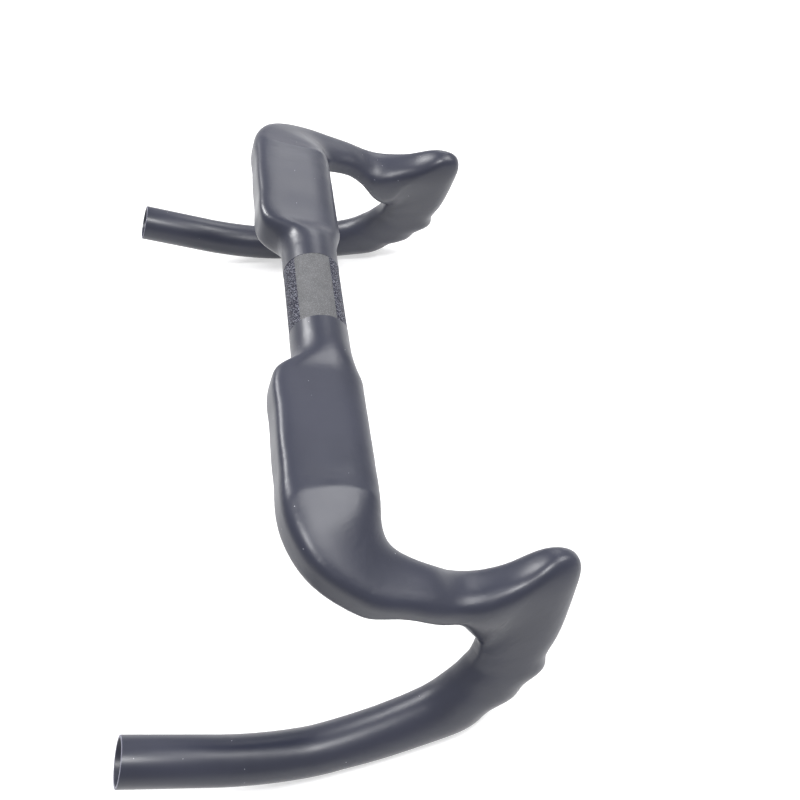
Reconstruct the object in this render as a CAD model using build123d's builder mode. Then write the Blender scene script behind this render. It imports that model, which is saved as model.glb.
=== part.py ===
"""Track handlebar: a one-piece moulded bar with a round clamp zone, flat wing tops,
forward arms, upright hoods with finger scallops, and round flared drops.

Frame: millimetres, +Z up, +Y the riding direction, +X the rider's right.
The origin is the centre of the clamp zone. The bar is modelled in its riding pose,
with the wing level, and is then turned nose down to the pose in which it lies on its drops.
"""
from math import cos, radians, sin
import os

from build123d import *

# Clamp zone
clamp_d = 31.8
clamp_length = 60.0
collar_step = 0.06

# Wing: the flat-topped stretch each side of the clamp
wing_front = 20.0
wing_rear = 29.0
wing_thickness = 24.0
shoulder_length = 34.0
wing_end = 112.0

# Hood and drop share one plane that leans in at the top and spreads to the rear
hood_half_width = 160.0
hood_lean = 16.7
drop_spread = 1.4

# Drop tube: its centreline, each point y forward and w down the drop plane
tube_d = 25.0
tube_wall = 1.5
bore_length = 44.0
tube_end = (-85.6, 130.3)
straight_start = (-40.0, 134.1)
tube_bottom = (-5.0, 133.6)
tube_rise = (25.0, 126.4)
rise_direction = (-0.91, 0.41)
sink_length = 20.0

# Pose at rest
rest_tilt = 20.0

section_points = 32
guide_every = 4


def on_drop_plane(y, w):
    """A point of the hood and drop plane: y forward, w down along its lean."""
    lean = radians(hood_lean)
    x = hood_half_width + w * sin(lean) - (y - 100) * sin(radians(drop_spread))
    return Vector(x, y, -w * cos(lean))


def outline(reach_in, reach_out, half_up, square_in, square_out):
    """Points round a section: a superellipse whose two ends have their own reach and squareness."""
    points = []
    for i in range(section_points):
        a = radians(360 * i / section_points)
        reach, square = (reach_in, square_in) if cos(a) >= 0 else (reach_out, square_out)
        x = reach * abs(cos(a)) ** (2 / square) * (1 if cos(a) >= 0 else -1)
        y = half_up * abs(sin(a)) ** (2 / square) * (1 if sin(a) >= 0 else -1)
        points.append((x, y))
    return points


def section(centre, across, up, points):
    """The outline's points in space, on the plane that across and up span at the centre."""
    plane = Plane(origin=centre, x_dir=across, z_dir=Vector(*across).cross(Vector(*up)))
    return [plane.from_local_coords(Vector(x, y, 0)) for x, y in points]


def skin(sections):
    """A solid whose side passes smoothly through the sections, with guides through their matching points."""
    along = [0.0]
    for here, there in zip(sections, sections[1:]):
        along.append(along[-1] + sum((q - p).length for p, q in zip(here, there)) / len(here))
    even = [i / section_points for i in range(section_points + 1)]
    rings = [Edge.make_spline(list(points), parameters=even, periodic=True) for points in sections]
    columns = list(zip(*sections))
    columns = columns[::guide_every] + columns[:1]
    guides = [Edge.make_spline(list(column), parameters=along) for column in columns]
    side = Face.make_gordon_surface(rings, guides, tolerance=0.001)
    rims = [edge for edge in side.edges() if edge.is_closed]
    return Solid(Shell([side] + [Face.make_surface([rim]) for rim in rims]))


clamp_r = clamp_d / 2
collar_r = clamp_r + collar_step
half_clamp = clamp_length / 2
half_wing = wing_thickness / 2

# Wing stations: x, front reach, rear reach, half height, squareness front and rear
wing = [
    (half_clamp - 6, collar_r, collar_r, collar_r, 2, 2),
    (half_clamp, collar_r, collar_r, collar_r, 2, 2),
    (half_clamp + 8, collar_r + 0.3, collar_r + 0.3, 15.8, 2.0, 2.0),
    (half_clamp + 15, 17.3, 18.4, 14.8, 2.05, 2.3),
    (half_clamp + 22, 18.8, 24.5, 13.2, 2.1, 3.2),
    (half_clamp + 28, wing_front, 27.8, 12.3, 2.2, 4.0),
    (half_clamp + shoulder_length, wing_front, wing_rear, half_wing, 2.3, 4.2),
    (85, wing_front, wing_rear, half_wing, 2.3, 4.2),
    (wing_end, wing_front, wing_rear, half_wing, 2.3, 4.2),
]

# Bend stations: centre, heading in degrees from +X, reach inwards and outwards, half height
bend = [
    ((130, -4, -0.3), 5, 24.0, 23.6, 12.0),
    ((144, -1.5, -2.4), 20, 22.8, 22.0, 11.6),
    ((156, 6.2, -7.2), 42, 20.0, 20.3, 10.8),
    ((164, 17.5, -12.5), 63, 17.3, 18.0, 10.1),
    ((168.5, 32, -16.8), 78, 15.6, 15.6, 9.7),
    ((170.3, 47, -20), 87, 15.0, 14.6, 9.5),
]

# Hood stations: window point, outer point (each y forward, w down), thickness, squareness
hood = [
    ((62, 32.5), (62, 14.5), 29.0, 2.6),
    ((71, 36), (74.5, 10.5), 27.0, 2.5),
    ((76, 41), (89, 2.5), 24.5, 2.5),
    ((78.5, 46), (103, -7.0), 22.5, 2.5),
    ((79.7, 50), (114.5, -5), 21.5, 2.5),
    ((80, 54), (119, 9), 21.0, 2.6),
    ((80, 57), (120.5, 28), 21.0, 2.7),
    ((80, 59), (120.5, 46), 21.0, 2.7),
    ((79.7, 61.5), (119.5, 59), 21.5, 2.6),
    ((79, 65), (121.5, 66.5), 22.0, 2.5),
    ((77, 70), (114.5, 77.5), 23.0, 2.4),
    ((74, 76), (111.5, 87.5), 24.0, 2.3),
    ((70, 82.5), (101.5, 96), 25.0, 2.2),
    ((65, 88.5), (95, 107), 26.0, 2.1),
    ((57, 95), (79, 118.5), 26.0, 2.0),
]

# Drop tube centreline
end = on_drop_plane(*tube_end)
start = on_drop_plane(*straight_start)
bottom = on_drop_plane(*tube_bottom)
rise = on_drop_plane(*tube_rise)
to_end = (end - start).normalized()
down = on_drop_plane(tube_rise[0] + rise_direction[0], tube_rise[1] + rise_direction[1]) - rise

with BuildLine():
    centreline = Spline(rise, bottom, start, tangents=[down, to_end])

stations = []
for x, front, rear, half_up, square_front, square_rear in wing:
    points = outline(front, rear, half_up, square_front, square_rear)
    stations.append(section((x, 0, 0), (0, 1, 0), (0, 0, 1), points))
for centre, heading, reach_in, reach_out, half_up in bend:
    h = radians(heading)
    points = outline(reach_in, reach_out, half_up, 2.6, 2.9)
    stations.append(section(centre, (-sin(h), cos(h), 0), (0, 0, 1), points))
lean_in = Vector(-cos(radians(hood_lean)), 0, -sin(radians(hood_lean)))
for inner, outer, thickness, square in hood:
    a = on_drop_plane(*inner)
    b = on_drop_plane(*outer)
    up = b - a
    across = lean_in - up.normalized() * lean_in.dot(up.normalized())
    points = outline(thickness / 2, thickness / 2, up.length / 2, square, square)
    stations.append(section((a + b) * 0.5, across.normalized(), up.normalized(), points))

# The skin ends as two rings on the tube's centreline, the second one sunk inside the tube
for spot, ring_d in ((0.0, tube_d + 0.3), (sink_length, tube_d - 0.7)):
    ring_at = centreline.position_at(spot, position_mode=PositionMode.LENGTH)
    ahead = centreline.tangent_at(spot, position_mode=PositionMode.LENGTH)
    up = ahead.cross(lean_in).normalized()
    across = up.cross(ahead).normalized()
    points = outline(ring_d / 2, ring_d / 2, ring_d / 2, 2, 2)
    stations.append(section(ring_at, across, up, points))

with BuildPart() as drop:
    with BuildSketch(Plane(origin=rise, z_dir=down)):
        Circle(tube_d / 2)
    sweep(path=centreline)
    with BuildSketch(Plane(origin=start, z_dir=to_end)):
        Circle(tube_d / 2)
    extrude(amount=(end - start).length)

with BuildPart() as half:
    add(skin(stations))
    split(bisect_by=Plane.YZ.offset(half_clamp), keep=Keep.TOP)
    add(drop.part)
    with BuildSketch(Plane(origin=end, z_dir=to_end)):
        Circle(tube_d / 2 - tube_wall)
    extrude(amount=-bore_length, mode=Mode.SUBTRACT)

with BuildPart() as bar:
    add(half.part)
    mirror(half.part, about=Plane.YZ)
    with BuildSketch(Plane.YZ.offset(-half_clamp - 2)):
        Circle(clamp_r)
    extrude(amount=clamp_length + 4)

os.makedirs("parts", exist_ok=True)
with BuildPart() as handlebar:
    add(bar.part, rotation=(-rest_tilt, 0, 0))
handlebar.part.label = "handlebar"
export_step(handlebar.part, "parts/handlebar.step")
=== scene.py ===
import bmesh
import bpy
import numpy as np
from mathutils import Matrix, Vector


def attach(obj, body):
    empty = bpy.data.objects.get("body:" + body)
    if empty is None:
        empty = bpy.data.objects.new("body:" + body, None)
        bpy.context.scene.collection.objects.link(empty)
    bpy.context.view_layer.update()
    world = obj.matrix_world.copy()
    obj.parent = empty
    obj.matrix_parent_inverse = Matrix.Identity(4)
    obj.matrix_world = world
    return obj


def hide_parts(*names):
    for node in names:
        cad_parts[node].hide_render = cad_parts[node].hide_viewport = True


mm = 0.001

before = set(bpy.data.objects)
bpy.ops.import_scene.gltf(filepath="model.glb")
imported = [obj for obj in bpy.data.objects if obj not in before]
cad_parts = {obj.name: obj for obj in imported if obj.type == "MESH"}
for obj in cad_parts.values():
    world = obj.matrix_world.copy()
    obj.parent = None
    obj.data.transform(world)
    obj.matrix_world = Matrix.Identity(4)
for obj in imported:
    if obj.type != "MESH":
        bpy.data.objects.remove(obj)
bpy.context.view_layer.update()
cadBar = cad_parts["handlebar"]
print("frame loaded")


# Small helpers for node trees

def addNode(tree, kind, x, y, **settings):
    node = tree.nodes.new(kind)
    node.location = (x, y)
    for name, value in settings.items():
        setattr(node, name, value)
    return node


def wire(tree, source, target):
    # a number or colour is typed in, a socket is linked
    if isinstance(source, bpy.types.NodeSocket):
        tree.links.new(source, target)
    else:
        target.default_value = source


def calc(tree, operation, x, y, first, second=0.0):
    node = addNode(tree, "ShaderNodeMath", x, y, operation=operation)
    wire(tree, first, node.inputs[0])
    wire(tree, second, node.inputs[1])
    return node.outputs[0]


def ramp(tree, x, y, value, fromMin, fromMax, toMin=0.0, toMax=1.0):
    node = addNode(tree, "ShaderNodeMapRange", x, y, clamp=True)
    for name, part in (("Value", value), ("From Min", fromMin), ("From Max", fromMax),
                       ("To Min", toMin), ("To Max", toMax)):
        wire(tree, part, node.inputs[name])
    return node.outputs["Result"]


def blendColour(tree, x, y, share, first, second):
    node = addNode(tree, "ShaderNodeMix", x, y, data_type="RGBA")
    wire(tree, share, node.inputs["Factor"])
    wire(tree, first, node.inputs[6])
    wire(tree, second, node.inputs[7])
    return node.outputs[2]


def newGroup(name, takes, gives):
    group = bpy.data.node_groups.new(name, "ShaderNodeTree")
    for label, kind, value in takes:
        socket = group.interface.new_socket(name=label, in_out="INPUT", socket_type=kind)
        if value is not None:
            socket.default_value = value
    for label in gives:
        group.interface.new_socket(name=label, in_out="OUTPUT", socket_type="NodeSocketFloat")
    start = addNode(group, "NodeGroupInput", -900, 0)
    end = addNode(group, "NodeGroupOutput", 900, 0)
    return group, start.outputs, end.inputs


def placeGroup(tree, group, x, y, **values):
    node = addNode(tree, "ShaderNodeGroup", x, y, node_tree=group)
    for name, value in values.items():
        wire(tree, value, node.inputs[name])
    return node.outputs


def newMaterial(name):
    material = bpy.data.materials.new(name)
    material.use_nodes = True
    return material, material.node_tree, material.node_tree.nodes["Principled BSDF"]


def objectPlace(tree):
    return addNode(tree, "ShaderNodeTexCoord", -1400, 0).outputs["Object"]


def relief(tree, shader, height):
    bump = addNode(tree, "ShaderNodeBump", -100, -250)
    bump.inputs["Distance"].default_value = 1.0
    bump.inputs["Strength"].default_value = 0.8
    wire(tree, height, bump.inputs["Height"])
    wire(tree, bump.outputs[0], shader.inputs["Normal"])


# Effects shared by the materials

def makePaintGrain():
    # the fine orange peel of a matte coat, with slow patches where it was handled
    group, takes, gives = newGroup("paintGrain", [
        ("Position", "NodeSocketVector", None),
        ("GrainsPerMetre", "NodeSocketFloat", 3000.0),
        ("PatchesPerMetre", "NodeSocketFloat", 18.0),
    ], ["Height", "Patch"])
    grain = addNode(group, "ShaderNodeTexNoise", -500, 200)
    grain.inputs["Detail"].default_value = 3.0
    wire(group, takes["Position"], grain.inputs["Vector"])
    wire(group, takes["GrainsPerMetre"], grain.inputs["Scale"])
    patch = addNode(group, "ShaderNodeTexNoise", -500, -200)
    patch.inputs["Detail"].default_value = 4.0
    patch.inputs["Roughness"].default_value = 0.6
    wire(group, takes["Position"], patch.inputs["Vector"])
    wire(group, takes["PatchesPerMetre"], patch.inputs["Scale"])
    wire(group, grain.outputs[0], gives["Height"])
    wire(group, ramp(group, 0, -200, patch.outputs[0], 0.35, 0.65), gives["Patch"])
    return group


def makeDust():
    # a few pale specks that have settled on the coat
    group, takes, gives = newGroup("settledDust", [
        ("Position", "NodeSocketVector", None),
        ("SpecksPerMetre", "NodeSocketFloat", 220.0),
        ("SpeckSize", "NodeSocketFloat", 0.05),
        ("Share", "NodeSocketFloat", 0.2),
    ], ["Mask"])
    cells = addNode(group, "ShaderNodeTexVoronoi", -500, 100)
    wire(group, takes["Position"], cells.inputs["Vector"])
    wire(group, takes["SpecksPerMetre"], cells.inputs["Scale"])
    dot = calc(group, "LESS_THAN", -100, 100, cells.outputs["Distance"], takes["SpeckSize"])
    chosen = addNode(group, "ShaderNodeSeparateColor", -100, -100)
    wire(group, cells.outputs["Color"], chosen.inputs[0])
    few = calc(group, "LESS_THAN", 200, -100, chosen.outputs[0], takes["Share"])
    wire(group, calc(group, "MULTIPLY", 500, 0, dot, few), gives["Mask"])
    return group


def makeGrit():
    # sharp grains cast into the coat: their height, and a mask of the few that get a painted glint
    group, takes, gives = newGroup("castGrit", [
        ("Position", "NodeSocketVector", None),
        ("GrainsPerMetre", "NodeSocketFloat", 1500.0),
        ("GlintShare", "NodeSocketFloat", 0.3),
    ], ["Height", "Glint"])
    cells = addNode(group, "ShaderNodeTexVoronoi", -500, 100)
    wire(group, takes["Position"], cells.inputs["Vector"])
    wire(group, takes["GrainsPerMetre"], cells.inputs["Scale"])
    height = ramp(group, -100, 100, cells.outputs["Distance"], 0.0, 0.8, 1.0, 0.0)
    shade = addNode(group, "ShaderNodeSeparateColor", -100, -150)
    wire(group, cells.outputs["Color"], shade.inputs[0])
    glint = calc(group, "LESS_THAN", 200, -150, shade.outputs[1], takes["GlintShare"])
    wire(group, height, gives["Height"])
    wire(group, calc(group, "MULTIPLY", 450, -150, glint, height), gives["Glint"])
    return group


paintGrain = makePaintGrain()
settledDust = makeDust()
castGrit = makeGrit()
print("grain, dust and grit effects made")


# Finishes of the moulded bar

paint = {
    "deep": (0.0065, 0.0085, 0.021, 1),
    "pale": (0.010, 0.012, 0.027, 1),
    "dust": (0.30, 0.30, 0.34, 1),
    "roughness": (0.34, 0.41),       # smoothest and roughest patches
    "gloss": 1.52,                   # index of refraction of the clear top coat
    "grainHeight": 0.02 * mm,
}


def makePaint():
    material, tree, shader = newMaterial("mattePaint")
    place = objectPlace(tree)
    grain = placeGroup(tree, paintGrain, -1100, 300, Position=place)
    dust = placeGroup(tree, settledDust, -1100, 0, Position=place)
    colour = blendColour(tree, -700, 400, grain["Patch"], paint["deep"], paint["pale"])
    colour = blendColour(tree, -450, 400, dust["Mask"], colour, paint["dust"])
    wire(tree, colour, shader.inputs["Base Color"])
    rough = ramp(tree, -450, 150, grain["Patch"], 0.0, 1.0, *paint["roughness"])
    wire(tree, rough, shader.inputs["Roughness"])
    shader.inputs["IOR"].default_value = paint["gloss"]
    relief(tree, shader, calc(tree, "MULTIPLY", -450, -100, grain["Height"], paint["grainHeight"]))
    return material


grit = {
    "halfWidth": 24.5 * mm,          # the grit stops this far from the middle
    "lip": 0.18 * mm,                # and lies this much below the paint
    "dark": (0.010, 0.010, 0.020, 1),
    # the colour of the painted glints
    "paintedHighlight": (0.33, 0.34, 0.40, 1),
    "grains": 2300.0,                # a metre
    "glints": 0.34,                  # share of the grains that get a painted glint
    "height": 0.12 * mm,
    "roughness": 0.6,
    "specular": 0.15,
}

gritStrip = {                        # finer grains along the top, and paler there by a painted sheen
    "place": 1.5 * mm,               # its middle and half width across the bar
    "half": 9.6 * mm,
    "fade": 0.2 * mm,
    # the painted sheen's colour
    "colour": (0.078, 0.079, 0.082, 1),
    "paintedHighlight": (0.24, 0.24, 0.26, 1),
    "grains": 2600.0,
    "glints": 0.30,
    "sparkle": 0.5,                  # how far a painted glint reaches the painted highlight colour
    "patches": 120.0,
    "mottle": 0.12,                  # how far a patch of the painted sheen does
    "height": 0.35,                  # of the grains' height at the sides
}


def makeGritCoat():
    material, tree, shader = newMaterial("clampGrit")
    place = objectPlace(tree)
    coarse = placeGroup(tree, castGrit, -1100, 0, Position=place,
                        GrainsPerMetre=grit["grains"], GlintShare=grit["glints"])
    fine = placeGroup(tree, castGrit, -1100, -300, Position=place,
                      GrainsPerMetre=gritStrip["grains"], GlintShare=gritStrip["glints"])
    grain = placeGroup(tree, paintGrain, -1100, -600, Position=place,
                       PatchesPerMetre=gritStrip["patches"])

    # the strip's mask: near its middle line, and on the upper half only, where the sheen is painted; it
    # also holds the finer grains
    parts = addNode(tree, "ShaderNodeSeparateXYZ", -1100, 400)
    wire(tree, place, parts.inputs[0])
    across = calc(tree, "SUBTRACT", -850, 500, parts.outputs["Y"], gritStrip["place"])
    across = calc(tree, "ABSOLUTE", -650, 500, across)
    strip = ramp(tree, -450, 500, across, gritStrip["half"] + gritStrip["fade"],
                 gritStrip["half"] - gritStrip["fade"])
    above = calc(tree, "GREATER_THAN", -450, 700, parts.outputs["Z"], 0.0)
    strip = calc(tree, "MULTIPLY", -250, 600, strip, above)

    # the sides: the grit's own dark colour, with painted glints
    sides = blendColour(tree, -650, 100, coarse["Glint"], grit["dark"], grit["paintedHighlight"])
    # the top: the painted sheen, mottled in patches
    paintedSheen = blendColour(tree, -650, -500, grain["Patch"], gritStrip["colour"], gritStrip["paintedHighlight"])
    paintedSheen = blendColour(tree, -450, -500, gritStrip["mottle"], gritStrip["colour"], paintedSheen)
    # painted glints on the strip
    sparkle = calc(tree, "MULTIPLY", -700, -250, fine["Glint"], gritStrip["sparkle"])
    top = blendColour(tree, -450, -200, sparkle, paintedSheen, gritStrip["paintedHighlight"])
    wire(tree, blendColour(tree, -200, 100, strip, sides, top), shader.inputs["Base Color"])
    shader.inputs["Roughness"].default_value = grit["roughness"]
    shader.inputs["Specular IOR Level"].default_value = grit["specular"]

    low = calc(tree, "MULTIPLY", -650, -750, fine["Height"], gritStrip["height"])
    grains = ramp(tree, -450, -750, strip, 0.0, 1.0, coarse["Height"], low)
    relief(tree, shader, calc(tree, "MULTIPLY", -250, -750, grains, grit["height"]))
    return material


tubeCut = {
    "colour": (0.085, 0.085, 0.130, 1),
    "scuffed": (0.160, 0.160, 0.210, 1),
    "roughness": 0.5,
    "scratches": 5000.0,             # a metre
    "patches": 400.0,
    "scratchHeight": 0.03 * mm,
    "edge": 0.25 * mm,               # the sawn edges are broken by this much
    "end": (201.978 * mm, -123.123 * mm, -88.001 * mm),
    "axis": (0.000484, -0.909500, 0.415703),
    "reach": 13.5 * mm,              # just past the tube's outside
    "faceDepth": 0.4 * mm,           # what lies this near the end's plane is the sawn face
    "rimDepth": 0.1 * mm,            # and this near, its two rims
    "rimAngle": 1.2,                 # radians; the rims' edges are sharper than this
}


def makeTubeCut():
    material, tree, shader = newMaterial("sawnTubeEnd")
    grain = placeGroup(tree, paintGrain, -1100, 0, Position=objectPlace(tree),
                       GrainsPerMetre=tubeCut["scratches"], PatchesPerMetre=tubeCut["patches"])
    colour = blendColour(tree, -500, 200, grain["Patch"], tubeCut["colour"], tubeCut["scuffed"])
    wire(tree, colour, shader.inputs["Base Color"])
    shader.inputs["Roughness"].default_value = tubeCut["roughness"]
    relief(tree, shader, calc(tree, "MULTIPLY", -450, -100, grain["Height"], tubeCut["scratchHeight"]))
    return material


# The moulded shape: the CAD skin with its soft edges brought to the crispness of the real mould

shape = {
    "rest": 20.0,                    # degrees nose down; the wing is level in the mould
    "meshLength": 1.4 * mm,          # longest mesh edge on the wings and bends
    "meshSteps": 6,                  # at most this many halvings of the edges
    "joinFirst": 0.002 * mm,         # points nearer than this are joined, before and after reshaping
    "joinLast": 0.02 * mm,
    "smoothSteps": 3,
    "smoothEdge": 0.6,               # radians; sharper edges are shaded sharp
}

# zones of the mesh: nearest and furthest to the side, rear and front limit, lowest
meshZone = (28 * mm, 186 * mm, -40 * mm, 45 * mm, -45 * mm)
evenZone = (34 * mm, 186 * mm, -42 * mm, 48 * mm, -46 * mm)

collar = {
    "half": 33.0 * mm,
    "radius": 15.95 * mm,            # one radius for clamp zone and collars
    "found": (15.93 * mm, 0.12 * mm),  # its points lie at this radius, give or take the second
    "sideFrom": 29.9 * mm,           # the sides are reshaped from here
    "sideTo": 190.0 * mm,
    "push": 4.0 * mm,                # the collar stays round this much further out
    "pushFade": (30 * mm, 39 * mm, 39 * mm, 63 * mm),
}

wing = {
    "front": 2.3,                    # squareness of its front
    "evenFade": (58 * mm, 66 * mm, 104 * mm, 114 * mm),  # where it is one exact section
    "growth": (0.95, 1.2),           # least and most that the crisper edge may scale a point by
    "bendOut": 3.0 * mm,             # the bend's outer corner stands out this much more
    "bendFade": (4 * mm, 30 * mm, 38 * mm, 62 * mm),
    "reach": 32.0 * mm,              # the skin is looked for this far across and up
    "rise": 18.0 * mm,
    "slice": 1.0 * mm,               # step between the sections it is looked for in
}

facet = {
    "start": 19.0 * mm,              # the crease, past the wing's end
    "end": 37.0 * mm,                # where it meets the bend
    "bow": 95.0 * mm,                # twice the radius of the crease's bow
    "bowMiddle": -2.0 * mm,
    "softness": 0.4 * mm,
    "shortest": 5.0 * mm,            # least length from the crease to the end
    "steepness": 1.15,               # how much steeper than straight it leaves the crease
    "top": 12.0 * mm,
    "fade": (2 * mm, 14 * mm),
    "upFade": (0.3, 0.85),           # share of the half height
    "edgeFade": (0.66, 0.95),        # share of the reach
    "edgeLoss": 0.8,                 # share of the lift that is lost at the edge
}

# the solid's top line past the wing's end: how far along, how high, in mm
topLine = [(-30, 12), (-12, 12), (0, 12), (18.4, 11.7), (32.6, 9.2), (46.9, 3.6), (61.7, -2.4)]

arm = {
    "from": 140.0 * mm,              # what lies further out than this
    "lift": 4.0 * mm,                # its underside rises this much before the hood
    "liftFade": (8 * mm, 32 * mm, 36 * mm, 60 * mm),
    "depth": 20.0 * mm,              # the underside is at most this far below the middle
    "share": (10 * mm, 0.9),         # the rise is full at this share of this depth
    "sway": (-1.6 * mm, 1.4 * mm),   # the whole arm runs this much further in and up
    "swayFade": (10 * mm, 38 * mm, 42 * mm, 74 * mm),
    "swayHeight": (-50 * mm, -36 * mm),
    "lowest": -48.0 * mm,            # and nothing below this does
    "slim": 1.4 * mm,                # taken off its outer side
    "slimFade": (168 * mm, 182 * mm),
    "corner": (72 * mm, -37 * mm),   # the hand window's upper corner, forward and up
    "cornerReach": 20.0 * mm,
    "cornerDrop": 8.0 * mm,
}

# the arm's middle line: forward and up, in mm
armLine = [(17.5, -12.5), (32, -16.8), (47, -20), (62, -22.5)]

# stations along one side: centre x, y, z, heading, reach inwards and outwards, half height,
# squareness outside and the crispness that the edge is brought to
sideStations = [
    (30, 0, 0, 0, 15.96, 15.96, 15.96, 2.0, 2.0),
    (38, 0, 0, 0, 16.3, 16.3, 15.8, 2.0, 2.0),
    (45, 0, 0, 0, 17.3, 18.4, 14.8, 2.3, 2.4),
    (52, 0, 0, 0, 18.8, 24.5, 13.2, 3.2, 3.6),
    (58, 0, 0, 0, 20.0, 27.8, 12.3, 4.0, 5.0),
    (64, 0, 0, 0, 20.0, 29.0, 12.0, 4.2, 6.2),
    (85, 0, 0, 0, 20.0, 29.0, 12.0, 4.2, 6.2),
    (112, 0, 0, 0, 20.0, 29.0, 12.0, 4.2, 6.2),
    (130, -4, -0.3, 5, 24.0, 23.6, 12.0, 2.9, 5.0),
    (144, -1.5, -2.4, 20, 22.8, 22.0, 11.6, 2.9, 4.8),
    (156, 6.2, -7.2, 42, 20.0, 20.3, 10.8, 2.9, 4.4),
    (164, 17.5, -12.5, 63, 17.3, 18.0, 10.1, 2.9, 4.0),
    (168.5, 32, -16.8, 78, 15.6, 15.6, 9.7, 2.9, 3.4),
    (170.3, 47, -20, 87, 15.0, 14.6, 9.5, 2.9, 2.9),
]
wingEnd = 7                          # the station that distances along the side count from


def easeStep(value, low, high):
    t = np.clip((value - low) / (high - low), 0.0, 1.0)
    return t * t * (3 - 2 * t)


def fade(value, riseLow, riseHigh, fallLow, fallHigh):
    # from none to full, and back to none
    return easeStep(value, riseLow, riseHigh) * (1 - easeStep(value, fallLow, fallHigh))


def smoothCurve(at, spots, values):
    # a smooth curve through the values, one column each
    slopes = np.gradient(values, spots, axis=0)
    i = np.clip(np.searchsorted(spots, at) - 1, 0, len(spots) - 2)
    width = spots[i + 1] - spots[i]
    t = np.clip((at - spots[i]) / width, 0, 1)
    if values.ndim > 1:
        width, t = width[:, None], t[:, None]
    start = (2 * t ** 3 - 3 * t ** 2 + 1) * values[i] + (t ** 3 - 2 * t ** 2 + t) * width * slopes[i]
    return start + (3 * t ** 2 - 2 * t ** 3) * values[i + 1] + (t ** 3 - t ** 2) * width * slopes[i + 1]


def stationTable():
    table = np.array(sideStations, float)
    table[:, [0, 1, 2, 4, 5, 6]] *= mm
    run = np.concatenate([[0], np.cumsum(np.linalg.norm(np.diff(table[:, :3], axis=0), axis=1))])
    return table, run - run[wingEnd]


def toMould(points):
    turn = np.radians(shape["rest"])
    y = points[:, 1] * np.cos(turn) - points[:, 2] * np.sin(turn)
    z = points[:, 1] * np.sin(turn) + points[:, 2] * np.cos(turn)
    return np.column_stack([points[:, 0], y, z])


def toRest(points):
    turn = np.radians(shape["rest"])
    y = points[:, 1] * np.cos(turn) + points[:, 2] * np.sin(turn)
    z = -points[:, 1] * np.sin(turn) + points[:, 2] * np.cos(turn)
    return np.column_stack([points[:, 0], y, z])


def onSide(points):
    # where each point is along the side, how far across it and how far up
    table, run = stationTable()
    spots = np.arange(run[0], run[-1], wing["slice"])
    best = np.full(len(points), np.inf)
    along = np.zeros(len(points))
    for spot, station in zip(spots, smoothCurve(spots, run, table)):
        heading = np.radians(station[3])
        off = points[:, :2] - station[:2]
        forward = off @ (np.cos(heading), np.sin(heading))
        side = off @ (-np.sin(heading), np.cos(heading))
        rise = points[:, 2] - station[2]
        near = (np.abs(side) < wing["reach"]) & (np.abs(rise) < wing["rise"]) & (np.abs(forward) < best)
        best[near] = np.abs(forward[near])
        along[near] = spot + forward[near]
    found = best < 1.2 * wing["slice"]
    for step in range(3):            # closes in on the exact section
        station = smoothCurve(along, run, table)
        heading = np.radians(station[:, 3])
        off = points[:, :2] - station[:, :2]
        along += 0.7 * (off[:, 0] * np.cos(heading) + off[:, 1] * np.sin(heading)) * found
    station = smoothCurve(along, run, table)
    heading = np.radians(station[:, 3])
    inward = np.column_stack([-np.sin(heading), np.cos(heading)])
    across = np.sum((points[:, :2] - station[:, :2]) * inward, axis=1)
    return station, along, inward, across, points[:, 2] - station[:, 2], found


def crisperEdge(x, u, v, outer, soft, crisp):
    # how far a point moves out along its ray: from one superellipse to the next, and on the wing
    # the front goes to its exact section
    was = (u ** soft + v ** soft) ** (1 / soft)
    now = (u ** crisp + v ** crisp) ** (1 / crisp)
    front = (u ** wing["front"] + v ** wing["front"]) ** (1 / wing["front"])
    even = fade(x, *wing["evenFade"])
    return np.where(outer, was ** (1 - even) / now, front ** -even)


def facetLift(along, across):
    # the top runs level to a bowed crease, then down to the bend on a cubic that leaves at the
    # facet's own slope and arrives at the bend's
    spots, heights = np.array(topLine).T * mm
    top = smoothCurve(along, spots, heights)
    endAt = np.full(1, facet["end"])
    endTop = smoothCurve(endAt, spots, heights)[0]
    endSlope = (smoothCurve(endAt + 1 * mm, spots, heights)[0] - endTop) / (1 * mm)
    crease = facet["start"] + (across - facet["bowMiddle"]) ** 2 / facet["bow"]
    past = facet["softness"] * np.logaddexp(0, (along - crease) / facet["softness"])
    room = np.maximum(facet["end"] - crease, facet["shortest"])
    share = np.clip(past / room, 0, 1)
    drop = facet["top"] - endTop
    leave = -drop / room * facet["steepness"]
    target = facet["top"] + leave * room * (share - 2 * share ** 2 + share ** 3)
    target += endSlope * room * (share ** 3 - share ** 2) - drop * (3 * share ** 2 - 2 * share ** 3)
    lift = np.where(along < facet["end"], target - top, 0.0)
    return lift * easeStep(along, *facet["fade"])


def armMoves(points):
    # in, up and sideways moves of the arm and of the hand window's upper corner
    x, y, z = points.T
    outside = x > arm["from"]
    middle = np.interp(y, *(np.array(armLine).T * mm))
    below = outside * fade(y, *arm["liftFade"])
    below *= easeStep((middle - z) / arm["share"][0], 0.0, arm["share"][1]) * (z > middle - arm["depth"])
    corner = np.hypot(y - arm["corner"][0], z - arm["corner"][1]) / arm["cornerReach"]
    corner = outside * (1 - easeStep(corner, 0.0, 1.0))
    sway = outside * (z > arm["lowest"]) * fade(y, *arm["swayFade"]) * easeStep(z, *arm["swayHeight"])
    inwards = sway * (arm["sway"][0] - easeStep(x, *arm["slimFade"]) * arm["slim"])
    return inwards, sway * arm["sway"][1], below * arm["lift"] - corner * arm["cornerDrop"]


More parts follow.
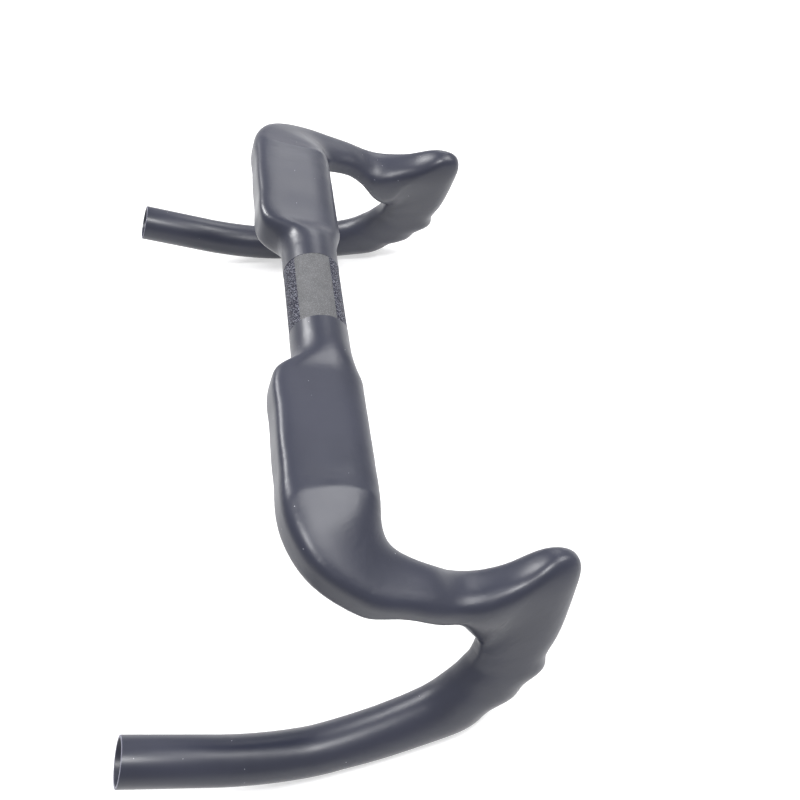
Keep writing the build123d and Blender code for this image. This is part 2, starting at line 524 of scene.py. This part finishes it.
def shapeSide(points):
    # points on one side of the bar, x to the right, in the mould's frame
    x = points[:, 0].copy()
    station, along, inward, across, up, found = onSide(points)
    reachIn, reachOut, half, soft, crisp = station[:, 4:].T
    outer = across < 0
    u = np.abs(across) / np.where(outer, reachOut, reachIn) + 1e-9
    v = np.abs(up) / half + 1e-9
    grow = crisperEdge(x, u, v, outer, soft, crisp)
    grow = np.where(found, np.clip(grow, *wing["growth"]), 1.0)
    newAcross = across * grow
    widen = fade(along, *wing["bendFade"]) * found
    newAcross -= np.where(outer, widen * wing["bendOut"] * np.clip(u, 0, 1), 0.0)
    lift = facetLift(along, across)
    edge = 1 - facet["edgeLoss"] * easeStep(u, *facet["edgeFade"])
    lift *= easeStep(up / half, *facet["upFade"]) * edge * found
    inwards, upwards, window = armMoves(points)

    moved = points.copy()
    moved[:, 0] += inwards
    moved[:, 2] += upwards
    moved[:, 2] += window
    moved[:, :2] += inward * (newAcross - across)[:, None]
    moved[:, 2] += up * grow - up + lift
    moved[:, 0] += fade(x, *collar["pushFade"]) * collar["push"]
    return moved


def inZone(place, zone):
    near, far, rear, front, lowest = zone
    return near < abs(place.x) < far and rear < place.y < front and place.z > lowest


def cutGritEdges(solid):
    for sign in (1, -1):
        for cut in (grit["halfWidth"], grit["halfWidth"] - grit["lip"]):
            bmesh.ops.bisect_plane(solid, geom=solid.verts[:] + solid.edges[:] + solid.faces[:], dist=1e-7,
                                   plane_co=(sign * cut, 0, 0), plane_no=(1, 0, 0))


def refineSides(solid):
    for step in range(shape["meshSteps"]):
        edges = [e for e in solid.edges
                 if e.calc_length() > shape["meshLength"] and all(inZone(v.co, meshZone) for v in e.verts)]
        if not edges:
            break
        bmesh.ops.subdivide_edges(solid, edges=edges, cuts=1)
        bmesh.ops.triangulate(solid, faces=[f for f in solid.faces if len(f.verts) > 3])


def reshape(solid):
    points = toMould(np.array([v.co for v in solid.verts]))
    around = np.hypot(points[:, 1], points[:, 2])
    radius, slack = collar["found"]
    onCollar = (np.abs(points[:, 0]) < collar["half"]) & (np.abs(around - radius) < slack)
    points[onCollar, 1:] *= (collar["radius"] / around[onCollar])[:, None]
    sunk = onCollar & (np.abs(points[:, 0]) < grit["halfWidth"] - 0.5 * grit["lip"])
    points[sunk, 1:] *= 1 - grit["lip"] / collar["radius"]
    for sign in (1, -1):
        mine = (points[:, 0] * sign > collar["sideFrom"]) & (points[:, 0] * sign < collar["sideTo"])
        part = points[mine] * (sign, 1, 1)
        points[mine] = shapeSide(part) * (sign, 1, 1)
    for vert, place in zip(solid.verts, toRest(points)):
        vert.co = place


def removeSlivers(solid):
    # joined points leave slivers: some lie twice on the same corners, some have an edge with no neighbour
    byCorners = {}
    for face in solid.faces:
        byCorners.setdefault(frozenset(face.verts), []).append(face)
    doubles = [face for faces in byCorners.values() for face in faces[1:]]
    bmesh.ops.delete(solid, geom=doubles, context="FACES_ONLY")
    fins = [f for f in solid.faces if any(len(e.link_faces) == 1 for e in f.edges)]
    bmesh.ops.delete(solid, geom=fins, context="FACES")
    bmesh.ops.recalc_face_normals(solid, faces=solid.faces[:])


def evenSides(solid):
    # the finer mesh follows the CAD's uneven facets until it is evened
    sides = [v for v in solid.verts if inZone(v.co, evenZone)]
    for step in range(shape["smoothSteps"]):
        bmesh.ops.smooth_vert(solid, verts=sides, factor=0.5,
                              use_axis_x=True, use_axis_y=True, use_axis_z=True)


def depthAndReach(place):
    # how far a place is past the tube's end, and how far from the tube's axis, on either side of the bar
    end = Vector(tubeCut["end"])
    axis = Vector(tubeCut["axis"])
    off = Vector((abs(place.x), place.y, place.z)) - end
    depth = off.dot(axis)
    return depth, (off - axis * depth).length


def breakTubeEdges(solid):
    rims = [e for e in solid.edges
            if len(e.link_faces) == 2 and e.calc_face_angle(0) > tubeCut["rimAngle"]
            and all(abs(depthAndReach(v.co)[0]) < tubeCut["rimDepth"] for v in e.verts)]
    bmesh.ops.bevel(solid, geom=rims, offset=tubeCut["edge"], segments=2, profile=0.5, affect="EDGES",
                    clamp_overlap=True)


def markFinishes(solid):
    # slots: paint, grit, sawn end; the bores keep the paint
    for face in solid.faces:
        face.smooth = True
        middle = face.calc_center_median()
        depth, reach = depthAndReach(middle)
        if abs(depth) < tubeCut["faceDepth"] and reach < tubeCut["reach"]:
            face.material_index = 2
        elif abs(middle.x) < grit["halfWidth"] - 0.6 * grit["lip"]:
            face.material_index = 1
    for edge in solid.edges:
        edge.smooth = len(edge.link_faces) == 2 and edge.calc_face_angle(0) < shape["smoothEdge"]


def makeBar():
    solid = bmesh.new()
    solid.from_mesh(cadBar.data)
    bmesh.ops.remove_doubles(solid, verts=solid.verts, dist=shape["joinFirst"])
    cutGritEdges(solid)
    refineSides(solid)
    reshape(solid)
    bmesh.ops.remove_doubles(solid, verts=solid.verts, dist=shape["joinLast"])
    removeSlivers(solid)
    evenSides(solid)
    breakTubeEdges(solid)
    markFinishes(solid)
    mesh = bpy.data.meshes.new("handlebarSkin")
    solid.to_mesh(mesh)
    solid.free()
    skin = bpy.data.objects.new("handlebarSkin", mesh)
    bpy.context.collection.objects.link(skin)
    for material in (makePaint(), makeGritCoat(), makeTubeCut()):
        mesh.materials.append(material)
    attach(skin, "root")
    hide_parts("handlebar")
    print("bar shaped:", len(mesh.polygons), "faces")


makeBar()


# Floor, light and camera

studio = {
    "floorHeight": -135.8 * mm,
    "floorSize": 60.0,
    "floorTone": (0.62, 0.62, 0.62, 1),
    "floorRoughness": 0.9,
    "floorGlow": 0.55,               # lifts the floor to near white where it is seen or mirrored
    "worldTone": (0.98, 0.98, 1.0, 1),
    "worldStrength": (0.05, 0.62),   # at the horizon and overhead
    "worldRise": (0.05, 0.55),       # between these heights of the sky it grows from one to the other
}


def seenRays(tree, x, y):
    # the rays that see the pale background: from the camera, a mirroring or a clear surface
    path = addNode(tree, "ShaderNodeLightPath", x - 250, y)
    seen = calc(tree, "MAXIMUM", x, y, path.outputs["Is Camera Ray"], path.outputs["Is Transmission Ray"])
    return calc(tree, "MAXIMUM", x + 200, y, seen, path.outputs["Is Glossy Ray"])


def makeFloor():
    sheet = bmesh.new()
    bmesh.ops.create_grid(sheet, x_segments=8, y_segments=8, size=studio["floorSize"] / 2)
    mesh = bpy.data.meshes.new("floor")
    sheet.to_mesh(mesh)
    sheet.free()
    floor = bpy.data.objects.new("floor", mesh)
    floor.location.z = studio["floorHeight"]
    bpy.context.collection.objects.link(floor)
    material, tree, shader = newMaterial("paleFloor")
    shader.inputs["Base Color"].default_value = studio["floorTone"]
    shader.inputs["Roughness"].default_value = studio["floorRoughness"]
    shader.inputs["Specular IOR Level"].default_value = 0.0
    shader.inputs["Emission Color"].default_value = (1, 1, 1, 1)
    glow = calc(tree, "MULTIPLY", -250, -300, seenRays(tree, -650, -300), studio["floorGlow"])
    wire(tree, glow, shader.inputs["Emission Strength"])
    mesh.materials.append(material)


def makeWorld():
    world = bpy.data.worlds.new("studioAir")
    bpy.context.scene.world = world
    world.use_nodes = True
    tree = world.node_tree
    back = tree.nodes["Background"]
    back.inputs["Color"].default_value = studio["worldTone"]
    toSky = addNode(tree, "ShaderNodeTexCoord", -900, -300).outputs["Generated"]
    parts = addNode(tree, "ShaderNodeSeparateXYZ", -700, -300)
    wire(tree, toSky, parts.inputs[0])
    light = ramp(tree, -450, -300, parts.outputs["Z"], *studio["worldRise"], *studio["worldStrength"])
    strength = ramp(tree, -200, 0, seenRays(tree, -650, 0), 0.0, 1.0, light, 1.0)
    wire(tree, strength, back.inputs["Strength"])


lamps = [
    # name, place, aims at, width, depth, watts
    ("skyPanel", (-0.12, 0.97, 1.20), (0, 0, -0.05), 0.8, 0.7, 17.0),
    ("backPanel", (-1.27, 0.50, 0.63), (0, 0, 0), 0.5, 0.5, 3.2),
    ("windowStrip", (-0.90, -0.75, 1.05), (0, 0, -0.05), 0.30, 0.7, 22.0),
    ("ceilingLamp", (0.42, 0.08, 1.20), (0, 0, 0), 0.20, 0.20, 11.0),
]


def makeLamps():
    for name, place, target, width, depth, watts in lamps:
        light = bpy.data.lights.new(name, "AREA")
        light.shape = "RECTANGLE"
        light.size = width
        light.size_y = depth
        light.energy = watts
        lamp = bpy.data.objects.new(name, light)
        lamp.location = place
        lamp.rotation_euler = (Vector(target) - Vector(place)).to_track_quat("-Z", "Y").to_euler()
        bpy.context.collection.objects.link(lamp)


viewpoint = {
    "place": (365.8 * mm, 10.7 * mm, 357.1 * mm),
    "right": (0.143, 0.989, -0.045),
    "look": (-0.629, 0.056, -0.775),
    "lens": 41.27,
    "sensor": 36,
    "nearest": 10 * mm,              # what is nearer isn't drawn
}


def makeCamera():
    data = bpy.data.cameras.new("photoView")
    data.sensor_width = viewpoint["sensor"]
    data.lens = viewpoint["lens"]
    data.clip_start = viewpoint["nearest"]
    camera = bpy.data.objects.new("photoView", data)
    bpy.context.collection.objects.link(camera)
    back = -Vector(viewpoint["look"]).normalized()
    right = Vector(viewpoint["right"])
    up = back.cross(right).normalized()
    right = up.cross(back)
    turn = Matrix((right, up, back)).transposed().to_4x4()
    camera.matrix_world = Matrix.Translation(viewpoint["place"]) @ turn
    bpy.context.scene.camera = camera


makeFloor()
makeWorld()
makeLamps()
makeCamera()
bpy.context.scene.view_settings.view_transform = "Standard"
print("floor, light and camera set")
